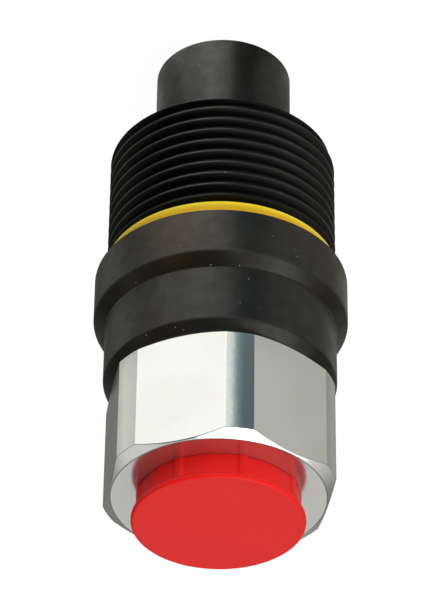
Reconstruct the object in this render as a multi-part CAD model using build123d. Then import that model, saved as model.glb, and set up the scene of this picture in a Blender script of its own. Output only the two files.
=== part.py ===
"""Male half of a screw-together hydraulic quick coupler, with the dust plug of its port.

Millimetres.  The axis of every turned piece is Z.  The flat nose face lies at height 0 and looks
down, the hose port is at the top.  Heights are added up along the axis from the driving sizes.
"""

from build123d import *
import os
from math import degrees, radians, tan

# Nose: the plain tube that slides into the female half
nose_diameter = 30.3
nose_length = 24.7
nose_edge_break = 0.4
nose_shank_diameter = 29.6
nose_shank_relief = 0.5
face_bore_diameter = 20.1
face_bore_length = 6.0
valve_chamber_diameter = 25.2
seat_angle = 45.0

# Coupling thread of the body, one right-hand start
thread_diameter = 50.0
thread_pitch = 3.0
thread_length = 29.0
thread_flank_angle = 30.0
thread_crest_share = 0.125
thread_root_share = 0.25
thread_lead_chamfer = 1.0
first_crest_height = 1.0

# Indicator ring in the groove against the flange
ring_width = 4.0
ring_end_gap = 0.3
ring_thickness = 2.0
ring_edge_break = 0.4

# Flange and collar of the body
flange_diameter = 55.0
flange_width = 10.7
collar_diameter = 50.0
collar_length = 13.1
collar_bevel = 2.2
edge_break = 0.3

# Inside of the body
shoulder_height = 44.0
seal_bore_diameter = 40.0
seal_bore_length = 20.5
joint_thread_diameter = 42.0

# Port adapter, a round bar with six milled flats
bar_diameter = 50.0
across_flats = 46.0
hex_length = 26.4
hex_face_diameter = 45.2
hex_chamfer_angle = 30.0
port_thread_diameter = 33.25
port_thread_depth = 18.5
port_countersink = 0.5
flow_bore_diameter = 28.0
drill_point_angle = 59.0
thread_relief_width = 2.0
thread_relief_depth = 1.2

# Clamped end of the nose tube
tube_flange_length = 10.0
guide_seat_diameter = 31.0
guide_seat_depth = 7.5

# Static seals: an o-ring with a back-up ring in one groove
static_groove_depth = 2.1
o_ring_width = 2.9
backup_ring_width = 1.3
groove_edge_distance = 1.2
pilot_groove_distance = 3.0
seal_bulge_share = 0.22

# Poppet and its face seal
poppet_recess = 0.1
face_disc_thickness = 2.0
poppet_seal_width = 2.6
poppet_seal_depth = 2.0
poppet_boss_diameter = 11.0
poppet_boss_length = 4.0
stop_flange_diameter = 23.6
stop_flange_thickness = 1.6
stem_diameter = 9.0
stem_end_height = 49.0

# Bleed valve inside the poppet
bleed_bore_diameter = 4.2
bleed_tip_diameter = 3.5
bleed_chamber_diameter = 6.0
bleed_shoulder_height = 8.3
bleed_seal_width = 1.2
bleed_seal_outer_diameter = 5.3
bleed_body_length = 3.6
bleed_body_flats = 4.8
bleed_spigot_diameter = 2.2
bleed_spigot_length = 5.0
bleed_spring_length = 15.0
bleed_spring_wire = 0.7
bleed_spring_turns = 4.0
bleed_plug_length = 5.0
bleed_plug_socket = 2.5
cross_hole_diameter = 2.0
cross_hole_height = 22.0

# Valve guide and main spring
guide_thickness = 4.0
guide_hub_diameter = 14.0
guide_hub_length = 6.5
guide_slot_count = 4
guide_slot_width = 2.4
guide_slot_span = 62.0
bush_wall = 1.35
bush_flange_thickness = 0.8
bush_flange_width = 1.0
circlip_thickness = 1.2
circlip_groove_depth = 0.8
circlip_band = 1.9
circlip_gap_angle = 50.0
circlip_lug_diameter = 3.2
circlip_eye_diameter = 1.4
circlip_lug_inset = 0.6
spring_wire = 2.0
spring_turns = 4.0
spring_end_turns = 0.5
spring_side_clearance = 0.65
spring_wire_sides = 6

# Dust plug
plug_head_diameter = 36.4
plug_head_height = 5.8
plug_rim_height = 1.2
plug_grip_diameter = 35.2
plug_rib_count = 8
plug_rib_width = 1.4
plug_rib_angle = 38.1
plug_panel_depth = 0.45
plug_panel_lip = 0.4
plug_face_thickness = 2.0
plug_shank_diameter = 30.0
plug_shank_length = 13.0
plug_shank_taper = 0.4
plug_wall = 1.6

# Clearances, on the radius or along the axis
slide_clearance = 0.05
joint_clearance = 0.05
seal_clearance = 0.03

# Cutters, which run past what they cut; the thread's starts away from the seam of the turned body
cutter_overshoot = 0.2
cutter_start_angle = 30.0
cutter_turns = 2

# Heights along the axis
body_start = nose_length
groove_start = body_start + thread_length
ring_start = groove_start + ring_end_gap
flange_start = ring_start + ring_width
flange_end = flange_start + flange_width
collar_start = flange_end + (flange_diameter - collar_diameter) / 2
bevel_start = collar_start + collar_length
body_end = bevel_start + collar_bevel
port_face = body_end + hex_length
seal_bore_end = shoulder_height + seal_bore_length
tube_end = shoulder_height + tube_flange_length
guide_seat = tube_end - guide_seat_depth
guide_end = guide_seat + guide_thickness
face_disc_end = poppet_recess + face_disc_thickness
poppet_seal_end = face_disc_end + poppet_seal_width
bleed_body_start = bleed_shoulder_height + bleed_seal_width
bleed_body_end = bleed_body_start + bleed_body_length
bleed_plug_start = bleed_body_end + bleed_spring_length
plug_top = port_face + plug_head_height

# Radii that several pieces share
nose_radius = nose_diameter / 2
nose_shank_radius = nose_shank_diameter / 2
face_bore_radius = face_bore_diameter / 2
chamber_radius = valve_chamber_diameter / 2
seal_bore_radius = seal_bore_diameter / 2
groove_floor_radius = seal_bore_radius - static_groove_depth
guide_seat_radius = guide_seat_diameter / 2
stem_radius = stem_diameter / 2
head_radius = face_bore_radius - slide_clearance
seat_end = face_bore_length + (chamber_radius - face_bore_radius) / tan(radians(seat_angle))
stop_start = face_bore_length + (stop_flange_diameter / 2 - head_radius) / tan(radians(seat_angle))
stop_end = stop_start + stop_flange_thickness


def turned(*outline):
    """Solid turned about the axis from an outline of (radius, height) points."""
    return revolve(make_face(Plane.XZ * Polyline(*outline, close=True)), Axis.Z)


def ring(inner_radius, outer_radius, low, high):
    """Plain turned ring between two heights."""
    return turned((inner_radius, low), (outer_radius, low), (outer_radius, high), (inner_radius, high))


def rod(radius, low, high):
    """Plain cylinder about the axis between two heights."""
    return Pos(0, 0, low) * Cylinder(radius, high - low, align=(Align.CENTER, Align.CENTER, Align.MIN))


def squeezed_seal(inner_radius, outer_radius, low, high):
    """O-ring as its groove squeezes it: flat inside and outside, bulging towards both sides."""
    middle_radius = (inner_radius + outer_radius) / 2
    bulge = seal_bulge_share * (high - low)
    return turned(
        (inner_radius, low + bulge),
        (middle_radius, low),
        (outer_radius, low + bulge),
        (outer_radius, high - bulge),
        (middle_radius, high),
        (inner_radius, high - bulge),
    )


def thread_groove_turns(crest_radius, root_radius, pitch, turns):
    """Cutter of some turns of a V groove, with its middle at height 0 on the +X side."""
    flank = tan(radians(thread_flank_angle))
    mouth_radius = crest_radius + cutter_overshoot
    root_half = thread_root_share * pitch / 2
    mouth_half = root_half + (mouth_radius - root_radius) * flank
    section = make_face(
        Plane.XZ
        * Polyline(
            (root_radius, -root_half),
            (root_radius, root_half),
            (mouth_radius, mouth_half),
            (mouth_radius, -mouth_half),
            close=True,
        )
    )
    return sweep(section, path=Helix(pitch, turns * pitch, crest_radius), is_frenet=True)


def threaded_body():
    """Black body: coupling thread, ring groove, flange, collar and the bores that hold the rest."""
    thread_radius = thread_diameter / 2
    crest_width = thread_crest_share * thread_pitch
    root_width = thread_root_share * thread_pitch
    flank = tan(radians(thread_flank_angle))
    thread_depth = (thread_pitch - crest_width - root_width) / 2 / flank
    root_radius = thread_radius - thread_depth
    flange_radius = flange_diameter / 2
    collar_radius = collar_diameter / 2
    joint_radius = joint_thread_diameter / 2 + joint_clearance
    bore_radius = nose_shank_radius + joint_clearance
    body = turned(
        (bore_radius, body_start),
        (thread_radius - thread_lead_chamfer, body_start),
        (thread_radius, body_start + thread_lead_chamfer),
        (thread_radius, groove_start),
        (thread_radius - ring_thickness, groove_start),
        (thread_radius - ring_thickness, flange_start),
        (flange_radius - edge_break, flange_start),
        (flange_radius, flange_start + edge_break),
        (flange_radius, flange_end),
        (collar_radius, collar_start),
        (collar_radius, bevel_start),
        (collar_radius - collar_bevel, body_end),
        (joint_radius, body_end),
        (joint_radius, seal_bore_end),
        (seal_bore_radius, seal_bore_end),
        (seal_bore_radius, shoulder_height),
        (bore_radius, shoulder_height),
    )
    cutter = Rot(0, 0, cutter_start_angle) * thread_groove_turns(
        thread_radius, root_radius, thread_pitch, cutter_turns
    )
    start_share = cutter_start_angle / 360
    height = body_start + first_crest_height + (start_share - 1.5) * thread_pitch
    while height < groove_start + thread_pitch / 2:
        body -= Pos(0, 0, height) * cutter
        height += cutter_turns * thread_pitch
    return body


def indicator_ring():
    """Yellow ring that shows when the female sleeve is screwed fully home."""
    inner = thread_diameter / 2 - ring_thickness + joint_clearance
    outer = thread_diameter / 2 + joint_clearance
    return turned(
        (inner, ring_start),
        (outer - ring_edge_break, ring_start),
        (outer, ring_start + ring_edge_break),
        (outer, flange_start),
        (inner, flange_start),
    )


def nose_tube():
    """Nose with the poppet's bore and seat, and the flange that the adapter clamps in the body."""
    outer = seal_bore_radius - joint_clearance
    groove_low = shoulder_height + groove_edge_distance
    groove_high = groove_low + o_ring_width + backup_ring_width
    clip_low = guide_end
    clip_high = clip_low + circlip_thickness + 2 * joint_clearance
    return turned(
        (face_bore_radius, 0),
        (nose_radius - nose_edge_break, 0),
        (nose_radius, nose_edge_break),
        (nose_radius, body_start - nose_shank_relief),
        (nose_shank_radius, body_start - nose_shank_relief),
        (nose_shank_radius, shoulder_height),
        (outer, shoulder_height),
        (outer, groove_low),
        (groove_floor_radius, groove_low),
        (groove_floor_radius, groove_high),
        (outer, groove_high),
        (outer, tube_end),
        (guide_seat_radius, tube_end),
        (guide_seat_radius, clip_high),
        (guide_seat_radius + circlip_groove_depth, clip_high),
        (guide_seat_radius + circlip_groove_depth, clip_low),
        (guide_seat_radius, clip_low),
        (guide_seat_radius, guide_seat),
        (chamber_radius, guide_seat),
        (chamber_radius, seat_end),
        (face_bore_radius, face_bore_length),
    )


def static_seal(groove_low):
    """O-ring in the pressure side of a static groove."""
    return squeezed_seal(
        groove_floor_radius + seal_clearance,
        seal_bore_radius - seal_clearance,
        groove_low + seal_clearance,
        groove_low + o_ring_width - seal_clearance,
    )


def static_backup(groove_low):
    """Square back-up ring in the rest of a static groove."""
    return ring(
        groove_floor_radius + seal_clearance,
        seal_bore_radius - seal_clearance,
        groove_low + o_ring_width,
        groove_low + o_ring_width + backup_ring_width - seal_clearance,
    )


def port_adapter():
    """Zinc-plated adapter: pilot, threaded shank, six flats on a round bar, and the hose port."""
    bar_radius = bar_diameter / 2
    face_radius = hex_face_diameter / 2
    chamfer_height = (bar_radius - face_radius) * tan(radians(hex_chamfer_angle))
    pilot_radius = seal_bore_radius - joint_clearance
    shank_radius = joint_thread_diameter / 2
    relief_radius = shank_radius - thread_relief_depth
    flow_radius = flow_bore_diameter / 2
    port_radius = port_thread_diameter / 2
    groove_low = tube_end + pilot_groove_distance
    groove_high = groove_low + o_ring_width + backup_ring_width
    bar = turned(
        (0, body_end),
        (face_radius, body_end),
        (bar_radius, body_end + chamfer_height),
        (bar_radius, port_face - chamfer_height),
        (face_radius, port_face),
        (0, port_face),
    )
    flats = RegularPolygon(across_flats / 2, 6, major_radius=False, rotation=30)
    hexagon = bar & Pos(0, 0, body_end) * extrude(flats, hex_length)
    shank = turned(
        (0, tube_end),
        (pilot_radius, tube_end),
        (pilot_radius, groove_low),
        (groove_floor_radius, groove_low),
        (groove_floor_radius, groove_high),
        (pilot_radius, groove_high),
        (pilot_radius, seal_bore_end),
        (relief_radius, seal_bore_end),
        (relief_radius, seal_bore_end + thread_relief_width),
        (shank_radius, seal_bore_end + thread_relief_width),
        (shank_radius, body_end),
        (0, body_end),
    )
    port_floor = port_face - port_thread_depth
    drill_start = port_floor - (port_radius - flow_radius) / tan(radians(drill_point_angle))
    bore = turned(
        (0, tube_end - cutter_overshoot),
        (flow_radius, tube_end - cutter_overshoot),
        (flow_radius, drill_start),
        (port_radius, port_floor),
        (port_radius, port_face - port_countersink),
        (port_radius + port_countersink, port_face),
        (port_radius + port_countersink, port_face + cutter_overshoot),
        (0, port_face + cutter_overshoot),
    )
    return hexagon + shank - bore


def poppet_face():
    """Front disc of the poppet, flush with the nose, and the boss that screws into the stem."""
    bore = bleed_bore_diameter / 2
    return turned(
        (bore, poppet_recess),
        (head_radius, poppet_recess),
        (head_radius, face_disc_end),
        (poppet_boss_diameter / 2, face_disc_end),
        (poppet_boss_diameter / 2, face_disc_end + poppet_boss_length),
        (bore, face_disc_end + poppet_boss_length),
    )


def poppet_stem():
    """Stem of the poppet, with the stop flange that rests on the seat in the nose tube."""
    boss_socket = poppet_boss_diameter / 2 + joint_clearance
    boss_end = face_disc_end + poppet_boss_length
    bleed_bore = bleed_bore_diameter / 2
    bleed_chamber = bleed_chamber_diameter / 2
    seal_floor = head_radius - poppet_seal_depth
    stem = turned(
        (boss_socket, face_disc_end),
        (seal_floor, face_disc_end),
        (seal_floor, poppet_seal_end),
        (head_radius, poppet_seal_end),
        (head_radius, face_bore_length),
        (stop_flange_diameter / 2, stop_start),
        (stop_flange_diameter / 2, stop_end),
        (stem_radius, stop_end),
        (stem_radius, stem_end_height),
        (bleed_chamber, stem_end_height),
        (bleed_chamber, bleed_shoulder_height),
        (bleed_bore, bleed_shoulder_height),
        (bleed_bore, boss_end),
        (boss_socket, boss_end),
    )
    drill = Cylinder(cross_hole_diameter / 2, stem_diameter + 2 * cutter_overshoot)
    return stem - Pos(0, 0, cross_hole_height) * Rot(0, 90, 0) * drill


def poppet_seal():
    """Seal trapped between the two halves of the poppet, wiping the bore of the nose."""
    return squeezed_seal(
        head_radius - poppet_seal_depth + seal_clearance,
        face_bore_radius - seal_clearance,
        face_disc_end + seal_clearance,
        poppet_seal_end - seal_clearance,
    )


def bleed_pin():
    """Pin that lets trapped pressure out before the main poppet opens."""
    tip = bleed_tip_diameter / 2
    body_radius = bleed_chamber_diameter / 2 - slide_clearance
    spigot = bleed_spigot_diameter / 2
    seal_floor = bleed_seal_outer_diameter / 2 - bleed_seal_width
    pin = turned(
        (0, poppet_recess),
        (tip, poppet_recess),
        (tip, bleed_shoulder_height - seal_clearance),
        (seal_floor, bleed_shoulder_height),
        (seal_floor, bleed_body_start),
        (body_radius, bleed_body_start),
        (body_radius, bleed_body_end),
        (spigot, bleed_body_end),
        (spigot, bleed_body_end + bleed_spigot_length),
        (0, bleed_body_end + bleed_spigot_length),
    )
    below = rod(body_radius, poppet_recess, bleed_body_start)
    square_body = Pos(0, 0, bleed_body_start) * extrude(
        Rectangle(bleed_body_flats, bleed_body_flats), bleed_body_length + bleed_spigot_length
    )
    return pin & (below + square_body)


def bleed_seal():
    """Small ring that the bleed pin presses against the shoulder in the stem."""
    outer = bleed_seal_outer_diameter / 2
    return squeezed_seal(
        outer - bleed_seal_width + seal_clearance,
        outer,
        bleed_shoulder_height + seal_clearance,
        bleed_body_start - seal_clearance,
    )


def bleed_plug():
    """Hollow screw in the stem that holds the bleed spring."""
    outer = bleed_chamber_diameter / 2 - joint_clearance
    screw = rod(outer, bleed_plug_start, bleed_plug_start + bleed_plug_length)
    hexagon = RegularPolygon(bleed_plug_socket / 2, 6, major_radius=False)
    socket = extrude(hexagon, bleed_plug_length + 2 * cutter_overshoot)
    return screw - Pos(0, 0, bleed_plug_start - cutter_overshoot) * socket


def coil_spring(mean_diameter, wire, low, high, turns):
    """Compression spring with ground ends: a helix of wire cut square at both heights."""
    pitch = (high - low) / turns
    path = Helix(pitch, (turns + 2 * spring_end_turns) * pitch, mean_diameter / 2)
    wire_section = RegularPolygon(wire / 2, spring_wire_sides)
    section = Plane(origin=path @ 0, x_dir=(1, 0, 0), z_dir=path % 0) * wire_section
    coil = Pos(0, 0, low - spring_end_turns * pitch) * sweep(section, path=path, is_frenet=True)
    return coil & rod(mean_diameter / 2 + wire, low, high)


def poppet_spring():
    """Main spring, from the poppet's stop flange to the guide."""
    mean_diameter = guide_hub_diameter + 2 * spring_side_clearance + spring_wire
    return coil_spring(mean_diameter, spring_wire, stop_end, guide_seat, spring_turns)


def bleed_spring():
    """Light spring behind the bleed pin."""
    mean_diameter = bleed_chamber_diameter - 2 * spring_side_clearance - bleed_spring_wire
    return coil_spring(
        mean_diameter, bleed_spring_wire, bleed_body_end, bleed_plug_start, bleed_spring_turns
    )


def valve_guide():
    """Guide plate with a hub for the stem and a ring of slots for the oil."""
    plate_radius = guide_seat_radius - joint_clearance
    bush_radius = stem_radius + slide_clearance + bush_wall + joint_clearance
    hub_radius = guide_hub_diameter / 2
    guide = turned(
        (bush_radius, guide_seat - guide_hub_length),
        (hub_radius, guide_seat - guide_hub_length),
        (hub_radius, guide_seat),
        (plate_radius, guide_seat),
        (plate_radius, guide_end),
        (bush_radius, guide_end),
    )
    slot_radius = chamber_radius - guide_slot_width / 2
    slot = SlotArc(CenterArc((0, 0), slot_radius, 0, guide_slot_span), guide_slot_width)
    cutter = extrude(slot, guide_thickness + 2 * cutter_overshoot)
    for turn in range(guide_slot_count):
        turned_cutter = Rot(0, 0, turn * 360 / guide_slot_count) * cutter
        guide -= Pos(0, 0, guide_seat - cutter_overshoot) * turned_cutter
    return guide


def guide_bush():
    """Flanged plain bearing pressed into the hub of the guide."""
    inner = stem_radius + slide_clearance
    outer = inner + bush_wall
    low = guide_seat - guide_hub_length
    return turned(
        (inner, low - bush_flange_thickness),
        (outer + bush_flange_width, low - bush_flange_thickness),
        (outer + bush_flange_width, low),
        (outer, low),
        (outer, guide_end),
        (inner, guide_end),
    )


def guide_circlip():
    """Internal retaining ring with two eyed lugs, sprung into the nose tube behind the guide."""
    low = guide_end + joint_clearance
    high = low + circlip_thickness
    outer = guide_seat_radius + circlip_groove_depth - joint_clearance
    inner = outer - circlip_band
    half_gap = circlip_gap_angle / 2
    corners = ((inner, low), (outer, low), (outer, high), (inner, high))
    band = make_face(Plane.XZ * Polyline(*corners, close=True))
    clip = Rot(0, 0, half_gap) * revolve(band, Axis.Z, revolution_arc=360 - circlip_gap_angle)
    lug_radius = circlip_lug_diameter / 2
    lug = rod(lug_radius, low, high)
    eye = rod(circlip_eye_diameter / 2, low - cutter_overshoot, high + cutter_overshoot)
    for side in (-1, 1):
        place = Rot(0, 0, side * half_gap) * Pos(inner - circlip_lug_inset, side * lug_radius, 0)
        clip = clip + place * lug - place * eye
    return clip


def dust_plug():
    """Red moulded plug: flat disc, ribbed grip wall, and a hollow tapered shank inside the port."""
    head_radius_outer = plug_head_diameter / 2
    grip = plug_grip_diameter / 2
    rim_start = plug_top - plug_rim_height
    shank = plug_shank_diameter / 2
    shank_end = port_face - plug_shank_length
    hollow = shank - plug_wall
    plug = turned(
        (0, plug_top),
        (head_radius_outer - edge_break, plug_top),
        (head_radius_outer, plug_top - edge_break),
        (head_radius_outer, rim_start),
        (grip, rim_start),
        (grip, port_face),
        (shank, port_face),
        (shank - plug_shank_taper, shank_end),
        (hollow - plug_shank_taper, shank_end),
        (hollow, port_face),
        (hollow, plug_top - plug_face_thickness),
        (0, plug_top - plug_face_thickness),
    )
    pitch_angle = 360 / plug_rib_count
    rib_angle = degrees(plug_rib_width / grip)
    panel_outline = make_face(
        Plane.XZ
        * Polyline(
            (grip - plug_panel_depth, port_face - cutter_overshoot),
            (head_radius_outer, port_face - cutter_overshoot),
            (head_radius_outer, rim_start - plug_panel_lip),
            (grip - plug_panel_depth, rim_start - plug_panel_lip),
            close=True,
        )
    )
    panel = revolve(panel_outline, Axis.Z, revolution_arc=pitch_angle - rib_angle)
    for turn in range(plug_rib_count):
        plug -= Rot(0, 0, plug_rib_angle + rib_angle / 2 + turn * pitch_angle) * panel
    return plug


pieces = {
    "threaded_body": threaded_body(),
    "indicator_ring": indicator_ring(),
    "nose_tube": nose_tube(),
    "nose_o_ring": static_seal(shoulder_height + groove_edge_distance),
    "nose_backup_ring": static_backup(shoulder_height + groove_edge_distance),
    "port_adapter": port_adapter(),
    "adapter_o_ring": static_seal(tube_end + pilot_groove_distance),
    "adapter_backup_ring": static_backup(tube_end + pilot_groove_distance),
    "poppet_face": poppet_face(),
    "poppet_stem": poppet_stem(),
    "poppet_seal": poppet_seal(),
    "poppet_spring": poppet_spring(),
    "bleed_pin": bleed_pin(),
    "bleed_seal": bleed_seal(),
    "bleed_spring": bleed_spring(),
    "bleed_plug": bleed_plug(),
    "valve_guide": valve_guide(),
    "guide_bush": guide_bush(),
    "guide_circlip": guide_circlip(),
    "dust_plug": dust_plug(),
}

os.makedirs("parts", exist_ok=True)
for name, piece in pieces.items():
    export_step(piece, f"parts/{name}.step")
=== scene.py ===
"""Look of the hydraulic quick coupler: fine surfaces, finishes, floor, light and camera."""

from math import cos, degrees, pi, radians, sin, tan

import bmesh
import bpy
import numpy as np
from mathutils import Matrix, Vector


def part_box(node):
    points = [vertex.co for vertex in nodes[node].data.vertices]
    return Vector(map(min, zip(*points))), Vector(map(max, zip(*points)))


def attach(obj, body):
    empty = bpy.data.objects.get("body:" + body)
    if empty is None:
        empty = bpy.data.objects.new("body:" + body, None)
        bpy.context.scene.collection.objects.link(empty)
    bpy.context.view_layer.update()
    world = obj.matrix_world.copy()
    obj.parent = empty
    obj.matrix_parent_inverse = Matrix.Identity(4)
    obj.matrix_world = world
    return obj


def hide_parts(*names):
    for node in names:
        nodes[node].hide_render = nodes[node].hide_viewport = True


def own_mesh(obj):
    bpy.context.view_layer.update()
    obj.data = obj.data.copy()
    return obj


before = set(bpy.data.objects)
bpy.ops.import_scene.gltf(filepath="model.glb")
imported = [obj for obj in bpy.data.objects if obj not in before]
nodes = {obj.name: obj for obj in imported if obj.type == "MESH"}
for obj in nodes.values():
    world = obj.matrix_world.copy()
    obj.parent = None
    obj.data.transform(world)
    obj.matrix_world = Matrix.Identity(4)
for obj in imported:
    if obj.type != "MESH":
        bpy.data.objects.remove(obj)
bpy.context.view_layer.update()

MM = 0.001


def size_of(node):
    """Largest radius, lowest and highest height of a CAD node, in millimetres."""
    low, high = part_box(node)
    return high.y / MM, low.z / MM, high.z / MM


# Sizes that the frame gives
nose_radius_outer, _, tube_end = size_of("nose_tube")
flange_radius, body_start, body_end = size_of("threaded_body")
ring_radius, ring_start, ring_end = size_of("indicator_ring")
bar_radius, pilot_start, port_face = size_of("port_adapter")
plug_radius, shank_end, plug_top = size_of("dust_plug")
across_flats_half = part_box("port_adapter")[1].x / MM

# Sizes of the pieces that the frame doesn't give, as in the part's source
nose_radius = 15.15
nose_shank_radius = 14.8
nose_shank_relief = 0.5
guide_seat_radius = 15.5
guide_seat_depth = 7.5
guide_thickness = 4.0
circlip_groove_width = 1.3
circlip_groove_depth = 0.8
shoulder_height = 44.0
face_bore_radius = 10.05
face_bore_length = 6.0
chamber_radius = 12.6
thread_radius = 25.0
thread_pitch = 3.0
thread_end = 53.7
thread_flank = tan(radians(30.0))
crest_width = 0.375
root_width = 0.75
lead_chamfer = 1.0
first_crest_height = 1.0
last_turn_margin = 0.4
flank_shares = (0.67, 0.33)
ring_groove_depth = 2.0
ring_crown = 0.25
flange_end = 68.7
collar_start = 71.2
collar_radius = 25.0
bevel_start = 84.3
collar_bevel = 2.2
seal_bore_radius = 20.0
seal_bore_end = 64.5
joint_radius = 21.0
static_groove_depth = 2.1
static_groove_width = 4.2
tube_groove_distance = 1.2
pilot_groove_distance = 3.0
relief_width = 2.0
relief_depth = 1.2
hex_face_radius = 22.6
hex_chamfer = tan(radians(30.0))
port_radius = 16.625
port_depth = 18.5
port_pitch = 2.309
port_countersink = 0.5
ridge_start = 1.2
ridge_runout = 2.5
ridge_height = 0.64
ridge_half_width = 0.46
ridge_power = 1.6
ridge_fade_turns = 0.35
ridge_sunk = 0.05
drill_point_angle = 59.0
flow_radius = 14.0
grip_radius = 17.6
rim_height = 1.2
rim_bevel_width = 0.6
rim_bevel_height = 0.4
plug_crown = 0.55
rib_count = 8
rib_width = 1.4
rib_angle = 38.1
panel_depth = 0.45
panel_lip = 0.4
panel_fall = 0.25
panel_ramp = 1.3
plug_foot_gap = 0.02
plug_shank_radius = 15.0
plug_shank_taper = 0.4
plug_wall = 1.6
plug_face_thickness = 2.0
main_spring_mean_radius = 8.65
main_spring_wire = 2.0
bleed_spring_mean_radius = 2.0
bleed_spring_wire = 0.7
spring_turns = 4.0
spring_end_turns = 0.5
clearance = 0.05

# Steps of the surfaces in degrees, and their soft corners
thread_step = 1.5
turned_step = 2.5
hexagon_step = 2.0
hexagon_edge_spread = 0.35
body_corner = 0.35
tooth_corner = 0.09
turned_corner = 0.45
adapter_corner = 0.14
plug_corner = 0.35
plug_foot_corner = 0.04
merge_distance = 0.001

# Where the photograph's camera stands and looks, from a perspective fit of the circles
camera_azimuth = radians(-80.5)
camera_radius = 555.7
camera_height = 468.1
camera_fall = radians(36.127)
camera_turn = radians(0.021)
camera_roll = radians(0.679)
focal_length_px = 3167.6
photo_height_px = 606
sensor_size = 36.0


# Surfaces


def column_angles(step, edges=(), spread=0.0):
    """Angles round a full turn, in radians, in even steps given in degrees.

    Each edge gets a column on it and one at the spread on either side.  Even columns that come nearer
    to these than 0.4 of a step are left out.
    """
    even = np.arange(0.0, 360.0, step)
    edges = np.asarray(edges, float)
    if not edges.size:
        return np.radians(np.append(even, 360.0))
    extra = np.concatenate([edges - spread, edges, edges + spread]) % 360.0
    gap = np.abs((even[:, None] - extra[None, :] + 180.0) % 360.0 - 180.0).min(axis=1)
    smallest_gap = 0.4 * step
    kept = even[(gap > smallest_gap) | (even == 0.0)]
    return np.radians(np.append(np.unique(np.concatenate([kept, extra])), 360.0))


def rounded(outline, radius, steps=4):
    """Outline with soft corners.

    outline has the shape (columns, points, 2) and holds radius and height of a closed loop.  Each
    corner P between its neighbours becomes the curve (1-t)^2 A + 2t(1-t) P + t^2 B.  A and B lie on
    the two sides at the distance radius from P, or at 0.4 of a shorter side.  radius is one number for
    all corners, or an array with a row for each of them.
    """
    largest_share = 0.4
    before = np.roll(outline, 1, axis=1) - outline
    after = np.roll(outline, -1, axis=1) - outline
    before_length = np.linalg.norm(before, axis=2, keepdims=True)
    after_length = np.linalg.norm(after, axis=2, keepdims=True)
    cut = np.minimum(radius, largest_share * np.minimum(before_length, after_length))
    start = outline + before / before_length * cut
    end = outline + after / after_length * cut
    t = np.linspace(0.0, 1.0, steps)[None, None, :, None]
    curve = (
        (1 - t) ** 2 * start[:, :, None]
        + 2 * t * (1 - t) * outline[:, :, None]
        + t**2 * end[:, :, None]
    )
    columns, points = outline.shape[:2]
    return curve.reshape(columns, points * steps, 2)


def outline_columns(columns, *points):
    """Outline whose points may each differ from column to column, as an array for rounded."""
    rows = [np.stack(np.broadcast_arrays(r, z, np.zeros(columns))[:2], axis=1) for r, z in points]
    return np.stack(rows, axis=1)


def merge_seams(work):
    """Merges the vertices that meet at a seam or a pole."""
    bmesh.ops.remove_doubles(work, verts=work.verts, dist=merge_distance * MM)
    bmesh.ops.dissolve_degenerate(work, edges=work.edges, dist=merge_distance * MM)


def close_ends(work):
    """Closes both ends of a coil."""
    bmesh.ops.holes_fill(work, edges=work.edges)


def skin(name, angles, profile, closed=True, mend=merge_seams):
    """Smooth piece whose outline is swept round the axis.

    profile has the shape (columns, points, 2): radius and height in millimetres at each angle.  The
    vertex of column i and point j is (r cos a_i, r sin a_i, z), and neighbours make the faces.  A
    closed outline joins its last point to its first.
    """
    radius, height = profile[..., 0], profile[..., 1]
    turn = angles[:, None]
    points = np.stack([radius * np.cos(turn), radius * np.sin(turn), height], axis=2) * MM
    columns, rows = radius.shape
    index = np.arange(columns * rows).reshape(columns, rows)
    along = np.concatenate([index, index[:, :1]], axis=1) if closed else index
    faces = np.stack([along[:-1, :-1], along[1:, :-1], along[1:, 1:], along[:-1, 1:]], axis=2)
    mesh = bpy.data.meshes.new(name)
    mesh.from_pydata(points.reshape(-1, 3), [], faces.reshape(-1, 4))
    work = bmesh.new()
    work.from_mesh(mesh)
    mend(work)
    bmesh.ops.recalc_face_normals(work, faces=work.faces)
    work.to_mesh(mesh)
    work.free()
    mesh.shade_smooth()
    piece = bpy.data.objects.new(name, mesh)
    bpy.context.scene.collection.objects.link(piece)
    return piece


def coil(name, turn, radius, height):
    """Piece whose section runs along a helix, from radius and height over (run, section)."""
    profile = np.stack(np.broadcast_arrays(radius, height), axis=2)
    return skin(name, turn, profile, mend=close_ends)


def even_shading(piece):
    """Normals that follow the large faces, so that only the soft corners shade as curved."""
    modifier = piece.modifiers.new("even_shading", "WEIGHTED_NORMAL")
    modifier.weight = 100
    return piece


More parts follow.
